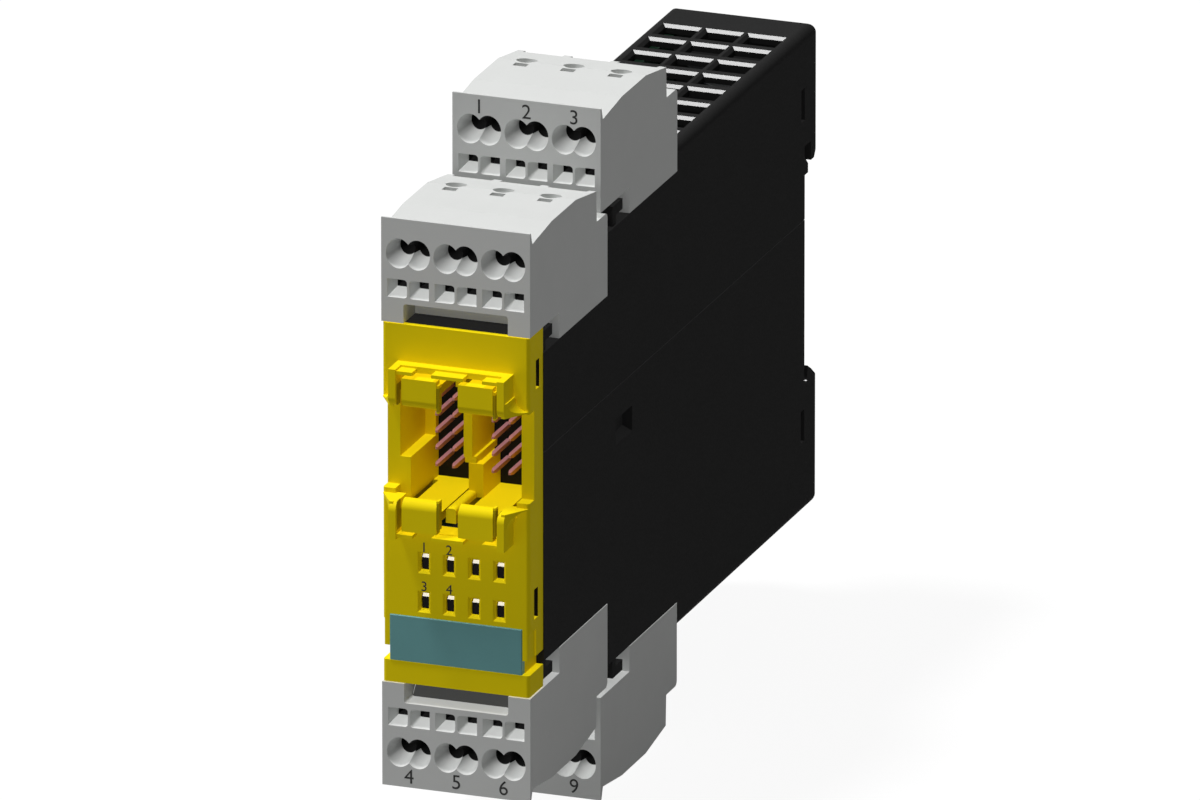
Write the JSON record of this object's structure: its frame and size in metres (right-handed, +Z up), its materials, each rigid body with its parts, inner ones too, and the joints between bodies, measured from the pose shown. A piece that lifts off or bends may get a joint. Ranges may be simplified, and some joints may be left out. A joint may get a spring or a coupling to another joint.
{
  "type": "safety expansion module",
  "caption": "Slim rail-mounted safety output module with plug-in terminal blocks, two pin sockets and indicator windows.",
  "frame": {"origin": "middle of the rail seat, the floor of the recess at the back, at mid width and mid height", "axes": "+X across the width, +Y to the back towards the rail, +Z up"},
  "size_m": [0.0226, 0.124, 0.1046],
  "materials": {
    "black_housing": "fine moulded texture",
    "yellow_cover": "satin moulded",
    "teal_plate": "smooth satin",
    "grey_block": "fine moulded texture",
    "black_moulding": "smooth",
    "pin_metal": "rosy plated",
    "dark_guide": "glossy tinted",
    "indicator": "clear cast",
    "board": "lacquered laminate",
    "chip_epoxy": "moulded epoxy",
    "capacitor_can": "drawn can",
    "ferrite": "sintered",
    "coil_tape": "taped winding",
    "spring_steel": "rolled strip",
    "tinned_copper": "tin plated"
  },
  "bodies": {
    "module": {"housing_lower": "black_housing", "housing_upper": "black_housing", "front_cover": "yellow_cover", "label_plate": "teal_plate", "header_left": "black_moulding", "header_right": "black_moulding", "pins_left": "pin_metal", "pins_right": "pin_metal", "light_guides": "dark_guide", "indicators": "indicator", "front_board": "board", "main_board": "board", "power_board": "board", "microcontrollers": "chip_epoxy", "capacitors": "capacitor_can", "output_switches": "chip_epoxy", "transformer_core": "ferrite", "transformer_coil": "coil_tape", "board_link": "black_moulding", "slider_spring": "spring_steel", "plug_tabs_upper_front": "tinned_copper", "tab_carrier_upper_front": "black_moulding", "plug_tabs_upper_rear": "tinned_copper", "tab_carrier_upper_rear": "black_moulding", "plug_tabs_lower_front": "tinned_copper", "tab_carrier_lower_front": "black_moulding", "plug_tabs_lower_rear": "tinned_copper", "tab_carrier_lower_rear": "black_moulding"},
    "upper_front_terminals": {"terminal_block_upper_front": "grey_block", "terminal_base_upper_front": "grey_block", "contacts_upper_front": "tinned_copper", "clamp_springs_upper_front": "spring_steel"},
    "upper_rear_terminals": {"terminal_block_upper_rear": "grey_block", "terminal_base_upper_rear": "grey_block", "contacts_upper_rear": "tinned_copper", "clamp_springs_upper_rear": "spring_steel"},
    "lower_front_terminals": {"terminal_block_lower_front": "grey_block", "terminal_base_lower_front": "grey_block", "contacts_lower_front": "tinned_copper", "clamp_springs_lower_front": "spring_steel"},
    "lower_rear_terminals": {"terminal_block_lower_rear": "grey_block", "terminal_base_lower_rear": "grey_block", "contacts_lower_rear": "tinned_copper", "clamp_springs_lower_rear": "spring_steel"},
    "slider": {"rail_slider": "black_moulding"}
  },
  "joints": [
    {"name": "upper_front_tilt", "type": "hinge", "parent": "module", "child": "upper_front_terminals", "pos_m": [0, -0.08375, 0.03505], "axis": [-1, 0, 0], "range_deg": [0, 7.5]},
    {"name": "upper_rear_tilt", "type": "hinge", "parent": "module", "child": "upper_rear_terminals", "pos_m": [0, -0.05475, 0.04455], "axis": [-1, 0, 0], "range_deg": [0, 7.5]},
    {"name": "lower_front_tilt", "type": "hinge", "parent": "module", "child": "lower_front_terminals", "pos_m": [0, -0.08375, -0.03505], "axis": [1, 0, 0], "range_deg": [0, 7.5]},
    {"name": "lower_rear_tilt", "type": "hinge", "parent": "module", "child": "lower_rear_terminals", "pos_m": [0, -0.05475, -0.04455], "axis": [1, 0, 0], "range_deg": [0, 7.5]},
    {"name": "rail_slider_lift", "type": "slide", "parent": "module", "child": "slider", "axis": [0, 0, 1], "range_m": [0, 0.0032], "stiffness_N_per_m": 1500, "deforming": ["slider_spring"]}
  ]
}
